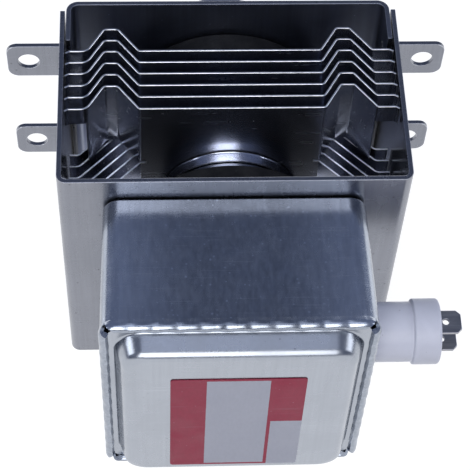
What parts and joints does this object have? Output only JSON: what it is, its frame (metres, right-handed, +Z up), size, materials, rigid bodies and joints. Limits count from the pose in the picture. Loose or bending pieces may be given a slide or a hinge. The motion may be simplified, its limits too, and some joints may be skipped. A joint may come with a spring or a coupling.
{
  "type": "magnetron",
  "caption": "Magnetron for a microwave oven: steel yoke with lanced cooling fins, ring magnets, crimped filter box with feedthrough capacitor, and antenna.",
  "frame": {"origin": "centre of the bounding box's bottom face, in the plane of the yoke's lower rim", "axes": "+Z up the yoke's open air duct, +Y along the tube's axis from the filter box to the antenna, +X from the tube towards the feedthrough capacitor"},
  "size_m": [0.113, 0.1244, 0.08],
  "materials": {
    "zinc_plated_steel": "zinc plated sheet, lightly brushed and marked",
    "bright_steel": "bright plated",
    "ferrite": "dull sintered ferrite",
    "copper": "clean turned copper",
    "soft_iron": "pressed soft iron",
    "aluminium_sheet": "rolled bright sheet",
    "tungsten": "drawn wire, dull",
    "molybdenum": "drawn and turned",
    "stem_alumina": "matt fired alumina",
    "output_alumina": "matt fired pink alumina",
    "woven_mesh": "knitted wire",
    "label_print": "printed label in plain fields of red and white",
    "moulded_case": "smooth off-white moulding",
    "tinned_blade": "tarnished tin plate",
    "enamelled_wire": "clear enamel over copper"
  },
  "bodies": {
    "root": {"yoke_bracket": "zinc_plated_steel", "yoke_output_plate": "zinc_plated_steel", "yoke_rivet_lower_left": "bright_steel", "yoke_rivet_upper_left": "bright_steel", "yoke_rivet_lower_right": "bright_steel", "yoke_rivet_upper_right": "bright_steel", "magnet_input": "ferrite", "magnet_output": "ferrite", "anode_block": "copper", "strap_ring_input": "copper", "strap_ring_output": "copper", "pole_piece_input": "soft_iron", "pole_piece_output": "soft_iron", "input_seal_cup": "bright_steel", "output_seal_cup": "bright_steel", "cooling_fin_1": "aluminium_sheet", "cooling_fin_2": "aluminium_sheet", "cooling_fin_3": "aluminium_sheet", "cooling_fin_4": "aluminium_sheet", "cooling_fin_5": "aluminium_sheet", "cooling_fin_6": "aluminium_sheet", "cathode_filament": "tungsten", "end_hat_input": "molybdenum", "end_hat_output": "molybdenum", "centre_lead": "molybdenum", "side_lead": "molybdenum", "stem_ceramic": "stem_alumina", "output_ceramic": "output_alumina", "antenna_cap": "bright_steel", "antenna_lead": "copper", "rf_gasket": "woven_mesh", "filter_box": "zinc_plated_steel", "box_rivet_1": "bright_steel", "box_rivet_2": "bright_steel", "box_rivet_3": "bright_steel", "box_rivet_4": "bright_steel", "filter_cover": "zinc_plated_steel", "rating_label": "label_print", "capacitor_body": "moulded_case", "capacitor_plate": "bright_steel", "capacitor_blade_upper": "tinned_blade", "capacitor_blade_lower": "tinned_blade", "choke_coil_upper": "enamelled_wire", "choke_coil_lower": "enamelled_wire", "choke_rod_upper": "ferrite", "choke_rod_lower": "ferrite"}
  },
  "joints": []
}
